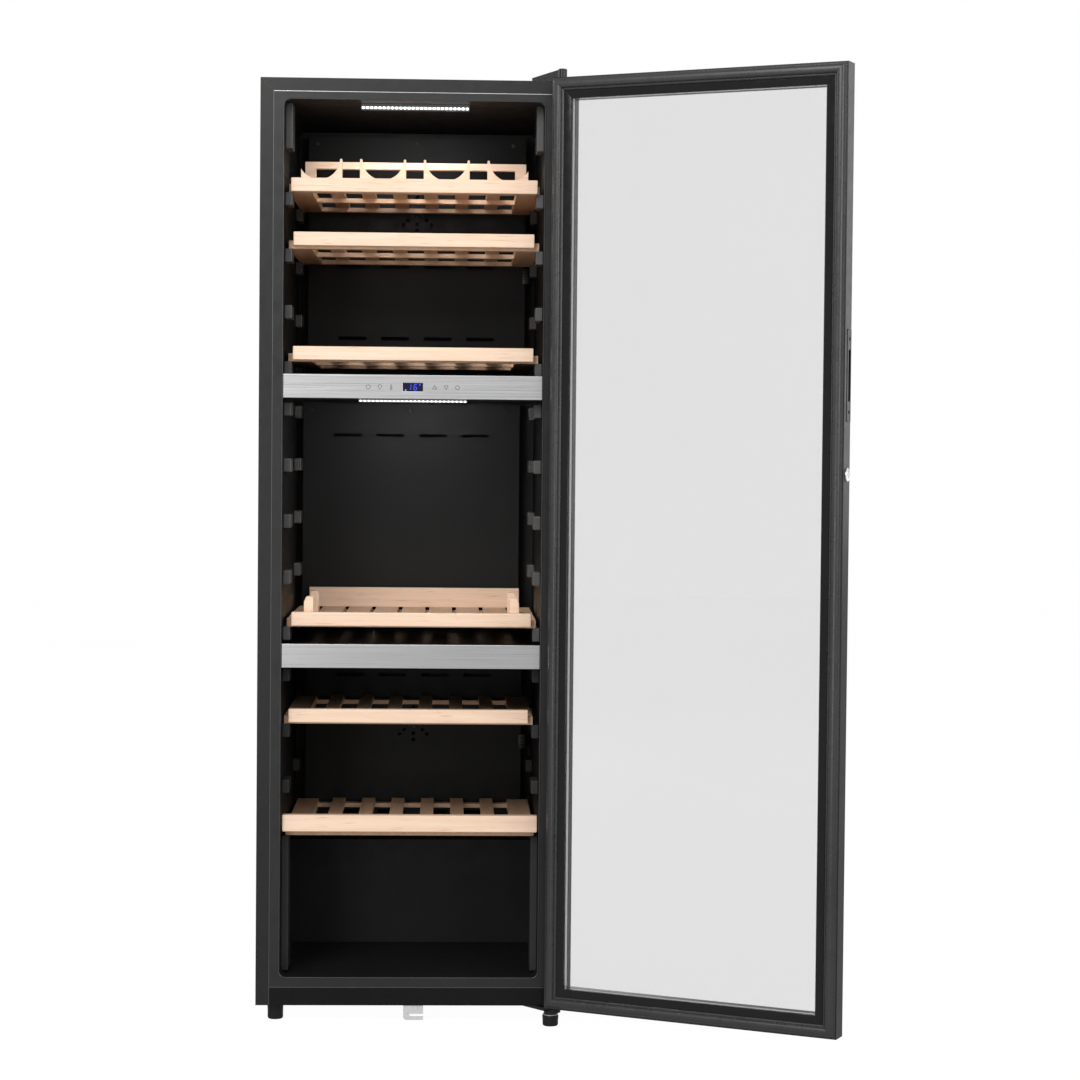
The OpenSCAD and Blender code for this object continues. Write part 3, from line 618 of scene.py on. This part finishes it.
def lock_details():
    """Bright bezel with a stepped rim around the key plug."""
    lock_z = 0.996
    lock_depth = 0.027
    place = DOOR @ facing((-HALF_W, FRONT_Y - lock_depth, lock_z), (-1, 0, 0))

    def build(bm):
        add_lathe(
            bm,
            [(0.0062, 0.0), (0.0062, 0.0022), (0.0072, 0.0026), (0.0088, 0.0022), (0.0098, 0.0026),
             (0.0112, 0.0025), (0.0119, 0.0019), (0.012, 0.0)],
            place,
            40,
        )

    mesh_piece("lock_bezel", build, "chrome", "door", 50)


def add_washer(bm, place, hole, r, thick):
    profile = [(hole, 0), (r, 0), (r, thick), (hole, thick), (hole, 0)]
    add_lathe(bm, profile, Matrix.Translation(place), 32)


def hinge_details():
    """Cap of the top pin, a washer at each end of the door and the bolts under the bottom arm."""
    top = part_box("top_hinge_arm")[1].z
    foot_lo, foot_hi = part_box("front_right_foot")
    foot = (foot_lo + foot_hi) / 2
    arm_gap = 0.0104
    arm_bottom = BASE_Z - 0.006

    def cap(bm):
        place = Matrix.Translation((PIVOT.x, PIVOT.y, top))
        add_lathe(bm, [(0.0072, -0.0002), (0.0072, 0.0005), (0.0064, 0.0011), (0, 0.0011)], place, 32)

    mesh_piece("top_pin_cap", cap, "hinge_steel", "cabinet", 40)

    def washers(bm):
        add_washer(bm, (PIVOT.x, PIVOT.y, DOOR_Z1 + 0.0001), 0.0045, 0.0078, 0.0008)
        add_washer(bm, (foot.x, foot.y, BASE_Z - arm_gap), 0.004, 0.0135, 0.0012)

    mesh_piece("hinge_washers", washers, "zinc_steel", "cabinet", 40)
    z = arm_bottom + 0.0005
    places = [(0.258, FRONT_Y + 0.015, z), (0.236, FRONT_Y + 0.03, z)]
    screws("bottom_arm_bolts", places, (0, 0, -1), "hinge_steel", "cabinet", 0.0058)


# ---------------------------------------------------------------- control bar


def add_bar(bm, a, b, y, width):
    """Flat stroke from a to b, both (x, z), at depth y."""
    a, b = Vector(a), Vector(b)
    side = (b - a).normalized().orthogonal() * width / 2
    corners = [a + side, b + side, b - side, a - side]
    bm.faces.new([bm.verts.new((p.x, y, p.y)) for p in corners])


def add_arc(bm, centre, r, a0, a1, y, width, steps=20):
    """Flat curved stroke around centre, from the angle a0 to a1 in degrees, at depth y."""
    for i in range(steps):
        t0 = math.radians(a0 + (a1 - a0) * i / steps)
        t1 = math.radians(a0 + (a1 - a0) * (i + 1) / steps)
        inside, outside = r - width / 2, r + width / 2
        quad = []
        for t, rad in ((t0, inside), (t1, inside), (t1, outside), (t0, outside)):
            x, z = centre[0] + rad * math.cos(t), centre[1] + rad * math.sin(t)
            quad.append(bm.verts.new((x, y, z)))
        bm.faces.new(quad)


def control_icons():
    """Six printed key symbols: power, lamp and thermometer, then up, down and a five-sided mark."""
    lo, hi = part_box("control_fascia")
    y = lo.y - 0.00008
    z = (lo.z + hi.z) / 2 - 0.0004
    pitch = 0.0204
    first = 0.039  # from the middle of the bar to the innermost key on each side
    w = 0.0009

    def polygon(bm, centre, r, sides, start):
        """Outline of a regular polygon."""
        ring = []
        for i in range(sides + 1):
            t = math.radians(start + 360 * i / sides)
            ring.append((centre[0] + r * math.cos(t), centre[1] + r * math.sin(t)))
        for a, b in zip(ring, ring[1:]):
            add_bar(bm, a, b, y, w)

    def build(bm):
        x = -first - 2 * pitch
        add_arc(bm, (x, z), 0.0039, 120, 420, y, w)
        add_bar(bm, (x, z + 0.0014), (x, z + 0.005), y, w)
        x += pitch
        add_arc(bm, (x, z + 0.0007), 0.0032, -50, 230, y, w)
        add_bar(bm, (x - 0.0017, z - 0.003), (x + 0.0017, z - 0.003), y, w)
        add_bar(bm, (x - 0.0012, z - 0.0043), (x + 0.0012, z - 0.0043), y, w)
        x += pitch
        add_arc(bm, (x, z - 0.003), 0.0018, 0, 360, y, w)
        add_bar(bm, (x, z - 0.0014), (x, z + 0.0046), y, w * 1.6)
        x = first
        polygon(bm, (x, z - 0.0008), 0.0044, 3, 90)
        polygon(bm, (x + pitch, z + 0.0008), 0.0044, 3, 270)
        polygon(bm, (x + 2 * pitch, z), 0.004, 5, 90)

    mesh_piece("key_symbols", build, "print_grey", "cabinet", None)


# The lit segments of each digit shown
SEGMENTS = {"1": "bc", "6": "afgedc"}


def display_digits():
    """Two seven-segment digits, a degree ring and the dot that shows cooling."""
    lo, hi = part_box("display_window")
    y = lo.y - 0.0001
    cz = (lo.z + hi.z) / 2
    w, h, stroke = 0.005, 0.0102, 0.0011
    lean = 0.12
    gap = 0.0005

    def point(x, z):
        return (x + lean * (z - cz), z)

    def digit(bm, x, name):
        left, right = x - w / 2, x + w / 2
        low, high = cz - h / 2, cz + h / 2
        ends = {
            "a": ((left, high), (right, high)), "b": ((right, high), (right, cz)),
            "c": ((right, cz), (right, low)), "d": ((left, low), (right, low)),
            "e": ((left, cz), (left, low)), "f": ((left, high), (left, cz)),
            "g": ((left, cz), (right, cz)),
        }
        for key in SEGMENTS[name]:
            a, b = (Vector(point(*p)) for p in ends[key])
            trim = (b - a).normalized() * gap
            add_bar(bm, a + trim, b - trim, y, stroke)

    def build(bm):
        digit(bm, -0.0062, "1")
        digit(bm, 0.0045, "6")
        add_arc(bm, point(0.0118, cz + 0.0042), 0.0012, 0, 360, y, 0.0007, 16)

    mesh_piece("display_digits", build, "digit_glow", "cabinet", None)

    def dot(bm):
        place = facing((lo.x + 0.0048, y, cz - 0.0052), (0, -1, 0))
        add_disc(bm, place, 0.0011)

    mesh_piece("display_dot", dot, "white_glow", "cabinet", None)


# Each lit bar's node, the radius of its chips, the height of its lit band and the power of its light
LED_BARS = (("upper_led_bar", 0.0022, 0.0048, 0.35), ("middle_led_bar", 0.0014, 0.003, 0.6))


def led_rows():
    """Row of bright chips along the front of each diffuser, over a softly lit band."""
    count = 26
    for node, r, _, _ in LED_BARS:
        lo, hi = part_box(node)
        pitch = (hi.x - lo.x) / count
        chip = [(r, -0.0002), (r, 0.0003), (0.6 * r, 0.0007), (0, 0.0008)]

        def chips(bm):
            for i in range(count):
                x = lo.x + (i + 0.5) * pitch
                add_lathe(bm, chip, facing((x, lo.y, lo.z + r + 0.0006), (0, -1, 0)), 12)

        mesh_piece(node + "_chips", chips, "led_glow", "cabinet", None)

    def bands(bm):
        for node, _, high, _ in LED_BARS:
            lo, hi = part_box(node)
            z = lo.z + 0.0003
            add_box(bm, (lo.x + 0.001, lo.y - 0.0002, z), (hi.x - 0.001, lo.y + 0.0001, z + high))

    mesh_piece("led_diffusers", bands, "led_haze", "cabinet", None)


# ---------------------------------------------------------------- cabinet pieces


def panel_screws():
    """Screws in the holes of the three duct covers."""
    inset = 0.012
    for node in ("upper_back_panel", "middle_back_panel", "lower_back_panel"):
        lo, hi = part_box(node)
        mid = (lo.x + hi.x) / 2
        places = [
            (mid + x, lo.y + 0.0002, z)
            for x in (-0.195, -0.002, 0.187)
            for z in (lo.z + inset, hi.z - inset)
        ]
        screws(node + "_screws", places, (0, -1, 0), "black_plastic", "cabinet", 0.0036)


def rear_details():
    """Screws and pressed ribs of the rear panel, and the lines of the cooling circuit."""
    lo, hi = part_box("rear_panel")
    side_inset, end_inset, spans = 0.012, 0.02, 6
    step = (hi.z - lo.z - 2 * end_inset) / spans
    places = [
        (x, hi.y, lo.z + end_inset + k * step)
        for x in (lo.x + side_inset, 0.0, hi.x - side_inset)
        for k in range(spans + 1)
    ]
    screws("rear_panel_screws", places, (0, 1, 0), "zinc_steel", "cabinet", 0.0036)

    rib_x, half_rib, rib_inset = 0.16, 0.012, 0.08

    def ribs(bm):
        for x in (-rib_x, rib_x):
            corner = (x - half_rib, hi.y - 0.0004, lo.z + rib_inset)
            add_box(bm, corner, (x + half_rib, hi.y + 0.0018, hi.z - rib_inset), 0.0017)

    mesh_piece("rear_panel_ribs", ribs, "base_steel", "cabinet", 40)
    clo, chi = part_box("compressor")
    coil_lo, coil_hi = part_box("condenser_coil")
    cx, cy = (clo.x + chi.x) / 2, (clo.y + chi.y) / 2
    top = chi.z
    tube(
        "discharge_line",
        [(cx + 0.03, cy - 0.01, top - 0.012), (cx + 0.03, cy - 0.01, top + 0.02),
         (cx + 0.06, cy - 0.01, top + 0.035), (coil_lo.x - 0.01, cy + 0.02, top + 0.03),
         (coil_lo.x + 0.003, coil_lo.y + 0.003, top + 0.01),
         (coil_lo.x + 0.003, coil_lo.y + 0.003, coil_hi.z - 0.003)],
        0.0024, "copper", "cabinet",
    )
    tube(
        "suction_line",
        [(cx - 0.03, cy + 0.02, top - 0.012), (cx - 0.03, cy + 0.02, top + 0.02),
         (cx - 0.05, cy - 0.02, top + 0.05), (cx - 0.05, clo.y - 0.02, top + 0.055),
         (cx - 0.05, clo.y - 0.028, top + 0.06)],
        0.0032, "copper", "cabinet",
    )

    wire_r, wire_inset, wire_spans = 0.0008, 0.008, 8
    wire_step = (coil_hi.x - coil_lo.x - 2 * wire_inset) / wire_spans
    length = coil_hi.z - coil_lo.z

    def wires(bm):
        for i in range(wire_spans + 1):
            x = coil_lo.x + wire_inset + i * wire_step
            for y in (coil_lo.y - 0.0002, coil_hi.y - 0.0002):
                place = Matrix.Translation((x, y, coil_lo.z))
                add_lathe(bm, [(0, 0), (wire_r, 0), (wire_r, length), (0, length)], place, 8)

    mesh_piece("condenser_wires", wires, "coil_steel", "cabinet", 40)


def bay_lining():
    """Thin steel over the foam in the compressor bay and at both sides of its mouth."""
    x, side = HALF_W - 0.034, HALF_W - 0.0008
    y0, y1 = BAY_Y, BACK_Y - 0.0009
    z0, z1 = BASE_Z + 0.0315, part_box("rear_panel")[0].z
    t = 0.0006

    def build(bm):
        add_box(bm, (-x, y0, z0), (x, y0 + t, z1))
        add_box(bm, (-x, y0, z1 - t), (x, y1, z1))
        for sx in (-1, 1):
            a, b = sorted((sx * x, sx * (x - t)))
            add_box(bm, (a, y0, z0), (b, y1, z1))
            a, b = sorted((sx * (x - t), sx * side))
            add_box(bm, (a, y1, z0), (b, BACK_Y - 0.0001, z1))

    mesh_piece("bay_lining", build, "base_steel", "cabinet", None)


def zone_sensors():
    """Caps of the temperature sensors on the duct covers of the top and bottom zones, their slots drawn as dark
    bars: painted shade.
    """
    x = 0.214
    heights = (1.374, 0.46)
    half_w, half_h, deep = 0.0075, 0.015, 0.008
    half_slot, slot_pitch, slot_w = 0.005, 0.006, 0.002

    def caps(bm):
        for z in heights:
            lo = (x - half_w, PANEL_Y - deep, z - half_h)
            add_box(bm, lo, (x + half_w, PANEL_Y, z + half_h), 0.002)

    mesh_piece("sensor_caps", caps, "black_plastic", "cabinet", 40)

    # Dark bars on the caps' faces: painted shade of the slots
    def slots(bm):
        y = PANEL_Y - deep - 0.0001
        for z in heights:
            for k in (-1, 0, 1):
                slot_z = z + k * slot_pitch
                add_bar(bm, (x - half_slot, slot_z), (x + half_slot, slot_z), y, slot_w)

    mesh_piece("sensor_slot_shades", slots, "painted_hole_shade", "cabinet", None)


def rounded_ring(half, z0, z1, corner, steps=8):
    """Points (x, z) around a rectangle with round corners, from the right side's top, anticlockwise."""
    points = []
    for cx, cz, start in (
        (half - corner, z1 - corner, 0),
        (-half + corner, z1 - corner, 90),
        (-half + corner, z0 + corner, 180),
        (half - corner, z0 + corner, 270),
    ):
        for i in range(steps + 1):
            t = math.radians(start + 90 * i / steps)
            points.append((cx + corner * math.cos(t), cz + corner * math.sin(t)))
    return points


def flange_trim():
    """Painted highlight lines of bright metal along the steel front's inner edge, brighter along the top than at
    the sides and bottom, and the liner's front face with the rolled lip of its opening, whose paint is lighter
    than the face's as a painted highlight.
    """
    flange = 0.0235
    fx = HALF_W - flange
    fz = TOP_Z - flange
    line = 0.0008
    corner_r = 0.011
    strip_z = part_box("base_strip")[1].z

    # Side and bottom lines in dim metal: painted highlight on the steel front's inner edge
    def sides(bm):
        for sx in (-1, 1):
            a, b = sorted((sx * fx, sx * (fx - line)))
            add_box(bm, (a, FRONT_Y - 0.0006, BASE_Z + 0.0015), (b, FRONT_Y + 0.0004, fz))
        corner = (-fx + 0.001, FRONT_Y - 0.0005, strip_z - 0.0002)
        add_box(bm, corner, (fx - 0.001, FRONT_Y + 0.001, strip_z + line))

    mesh_piece("front_edge_highlights", sides, "edge_highlight_dim", "cabinet", 40)

    # Top line in bright metal: painted highlight, brighter than the side lines
    def across(bm):
        add_box(bm, (-fx, FRONT_Y - 0.0006, fz - line), (fx, FRONT_Y + 0.0004, fz))

    mesh_piece("top_edge_highlight", across, "edge_highlight_bright", "cabinet", 40)

    def face(bm):
        inner = rounded_ring(OPEN_HALF, OPEN_Z0, OPEN_Z1, corner_r)
        half, low, high = fx - line, strip_z + line, fz - line
        per = len(inner) // 4
        outer = [(half, high), (-half, high), (-half, low), (half, low)]
        y = FRONT_Y - 0.0003
        ring = [bm.verts.new((x, y, z)) for x, z in inner]
        ends = [bm.verts.new((x, y, z)) for x, z in outer]
        for k in range(4):
            for i in range(per - 1):
                bm.faces.new([ends[k], ring[k * per + i], ring[k * per + i + 1]])
            after = (k + 1) % 4
            bm.faces.new([ends[k], ring[k * per + per - 1], ring[after * per], ends[after]])

    mesh_piece("liner_front_face", face, "liner_flange", "cabinet", None)
    # The rolled lip takes a lighter paint than the liner face: painted highlight
    out = 0.0011
    lip = rounded_ring(OPEN_HALF + out, OPEN_Z0 - out, OPEN_Z1 + out, corner_r + out)
    points = [(x, FRONT_Y + 0.0001, z) for x, z in lip]
    tube("liner_lip_highlit", points, 0.0014, "liner_lip_highlit", "cabinet", closed=True)


# ---------------------------------------------------------------- scene


WORLD_LIGHT = 0.4
FLOOR_HALF = 14

# Name, place, target, size and power of each soft box
SOFT_BOXES = (
    ("key", (-2.0, -4.5, 3.4), (0, 0, 0.9), 2.2, 112),
    ("right_front", (2.4, -4.2, 2.2), (0, 0, 1.0), 1.6, 30),
    ("left_low", (-1.7, -4.5, 0.5), (0, 0, 0.9), 1.0, 16),
    ("top_front", (-0.3, -2.0, 2.7), (0, -0.2, 1.4), 1.2, 10),
    ("right_side", (3.4, -2.2, 1.7), (0.4, -0.4, 0.9), 1.8, 35),
    ("right_rear", (2.9, 1.6, 1.9), (0.7, -0.5, 1.2), 2.2, 12),
    ("left_side", (-3.4, 0.2, 2.2), (-0.2, 0, 1.0), 1.8, 25),
    ("rear", (-0.6, 4.4, 2.4), (0, 0, 0.9), 3.0, 60),
)


def set_stage():
    """White surroundings that light the cooler more softly than they look, and a near-white floor."""
    set_world()
    lay_floor()
    for name, place, target, size, power in SOFT_BOXES:
        add_light(name, place, target, size, power)
    for node, _, _, power in LED_BARS:
        lo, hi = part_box(node)
        place = (0, hi.y + 0.012, lo.z - 0.004)
        add_light(node + "_light", place, (0, hi.y + 0.2, lo.z - 0.25), hi.x - lo.x, power, 0.012)


def set_world():
    world = bpy.data.worlds.new("studio")
    bpy.context.scene.world = world
    world.use_nodes = True
    tree = world.node_tree
    back = tree.nodes["Background"]
    back.inputs["Color"].default_value = (1, 1, 1, 1)
    path = tree.nodes.new("ShaderNodeLightPath")
    seen = tree.nodes.new("ShaderNodeMath")
    seen.operation = "MAXIMUM"
    tree.links.new(path.outputs["Is Camera Ray"], seen.inputs[0])
    tree.links.new(path.outputs["Is Transmission Ray"], seen.inputs[1])
    strength = tree.nodes.new("ShaderNodeMapRange")
    strength.inputs["To Min"].default_value = WORLD_LIGHT
    strength.inputs["To Max"].default_value = 1.0
    tree.links.new(seen.outputs[0], strength.inputs["Value"])
    tree.links.new(strength.outputs["Result"], back.inputs["Strength"])


def lay_floor():
    data = bpy.data.meshes.new("floor")
    corners = [(x * FLOOR_HALF, y * FLOOR_HALF, 0) for x, y in ((-1, -1), (1, -1), (1, 1), (-1, 1))]
    data.from_pydata(corners, [], [(0, 1, 2, 3)])
    floor = bpy.data.objects.new("floor", data)
    bpy.context.scene.collection.objects.link(floor)
    grey = (0.06, 0.06, 0.06)
    paint = Paint("floor", grey, 0.8)
    paint.set("Emission Color", (1, 1, 1, 1))
    paint.set("Emission Strength", 0.97)
    paint.set("Specular IOR Level", 0.0)
    paint.color(paint.ramp(paint.noise(0.8, 2), [(0.3, (0.055,) * 3), (0.7, (0.065,) * 3)]))
    data.materials.append(paint.mat)
    floor.visible_diffuse = False
    floor.visible_glossy = False


def add_light(name, place, target, size, power, tall=None):
    """A soft box size wide and tall high, aimed at target."""
    data = bpy.data.lights.new(name, "AREA")
    data.shape = "RECTANGLE"
    data.size = size
    data.size_y = tall or size
    data.energy = power
    light = bpy.data.objects.new(name, data)
    bpy.context.scene.collection.objects.link(light)
    light.location = place
    light.visible_camera = False
    light.visible_transmission = False
    light.rotation_euler = (Vector(target) - Vector(place)).to_track_quat("-Z", "Y").to_euler()


def set_camera():
    """The photograph's viewpoint: level with the middle of the cooler and a little to its right."""
    data = bpy.data.cameras.new("camera")
    data.sensor_width = 36
    data.lens = 87.0
    camera = bpy.data.objects.new("camera", data)
    yaw, pitch, roll = (math.radians(degrees) for degrees in (2.044, -1.9, 0.53))
    ahead = Vector(
        (math.sin(yaw) * math.cos(pitch), math.cos(yaw) * math.cos(pitch), math.sin(pitch))
    )
    right = Vector((math.cos(yaw), -math.sin(yaw), 0))
    up = right.cross(ahead)
    turned_right = right * math.cos(roll) + up * math.sin(roll)
    turned_up = up * math.cos(roll) - right * math.sin(roll)
    place = Matrix((turned_right, turned_up, -ahead)).transposed().to_4x4()
    place.translation = (0.0631, -4.9621, 1.0279)
    camera.matrix_world = place
    bpy.context.scene.collection.objects.link(camera)
    bpy.context.scene.camera = camera
    bpy.context.scene.view_settings.view_transform = "Standard"


def main():
    """Makes the scene."""
    set_camera()
    set_stage()
    dress_cad()
    door_pieces()
    control_icons()
    display_digits()
    led_rows()
    panel_screws()
    rear_details()
    bay_lining()
    zone_sensors()
    flange_trim()


main()
